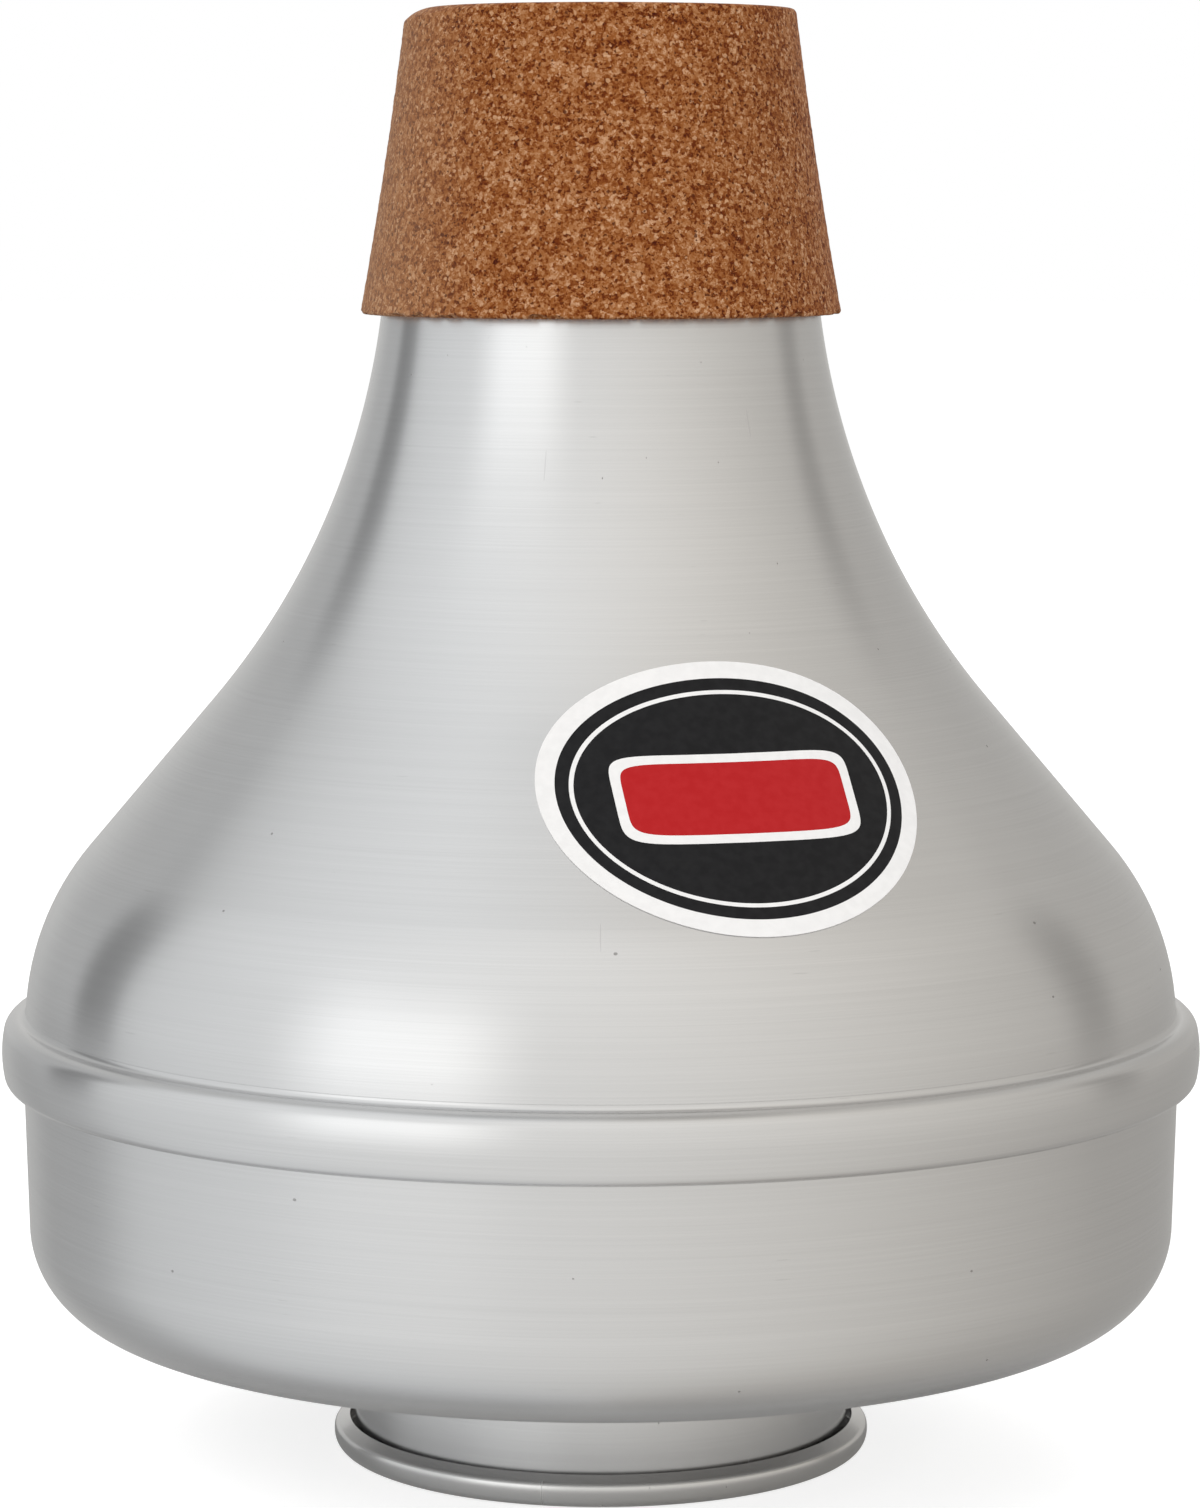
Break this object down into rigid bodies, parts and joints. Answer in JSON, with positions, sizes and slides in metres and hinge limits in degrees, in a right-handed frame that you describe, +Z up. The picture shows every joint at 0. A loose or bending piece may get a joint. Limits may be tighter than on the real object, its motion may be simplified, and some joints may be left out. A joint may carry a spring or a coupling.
{
  "type": "trombone wah-wah mute",
  "caption": "Hollow spun-aluminium trombone mute with a cork seat at its small end and a sliding cup stem in its large end, standing on the stem's rolled lip.",
  "frame": {"origin": "on the turning axis, in the plane of the rolled lip's lowest face, on which the mute stands", "axes": "+Z up along the turning axis, from the stem cup to the cork; -Y is the front of the picture, +X its right"},
  "size_m": [0.14, 0.14, 0.1682],
  "materials": {
    "spun_aluminium": "satin spun aluminium with fine turned lines, clear lacquered",
    "stem_aluminium": "satin spun aluminium, a little brighter than the body",
    "sleeve_aluminium": "plain turned aluminium",
    "cork": "sanded agglomerated cork, matt",
    "label_vinyl": "printed vinyl label, semi-gloss, white edge, black field and a red bar"
  },
  "bodies": {
    "stem": {"stem_tube": "stem_aluminium", "stem_cup": "stem_aluminium"},
    "mute_body": {"upper_shell": "spun_aluminium", "lower_shell": "spun_aluminium", "stem_well": "spun_aluminium", "guide_sleeve": "sleeve_aluminium", "guide_lining": "cork", "cork_sleeve": "cork", "front_label": "label_vinyl"}
  },
  "joints": [
    {"name": "stem_slide", "type": "slide", "parent": "stem", "child": "mute_body", "axis": [0, 0, 1], "range_m": [0, 0.072]}
  ]
}
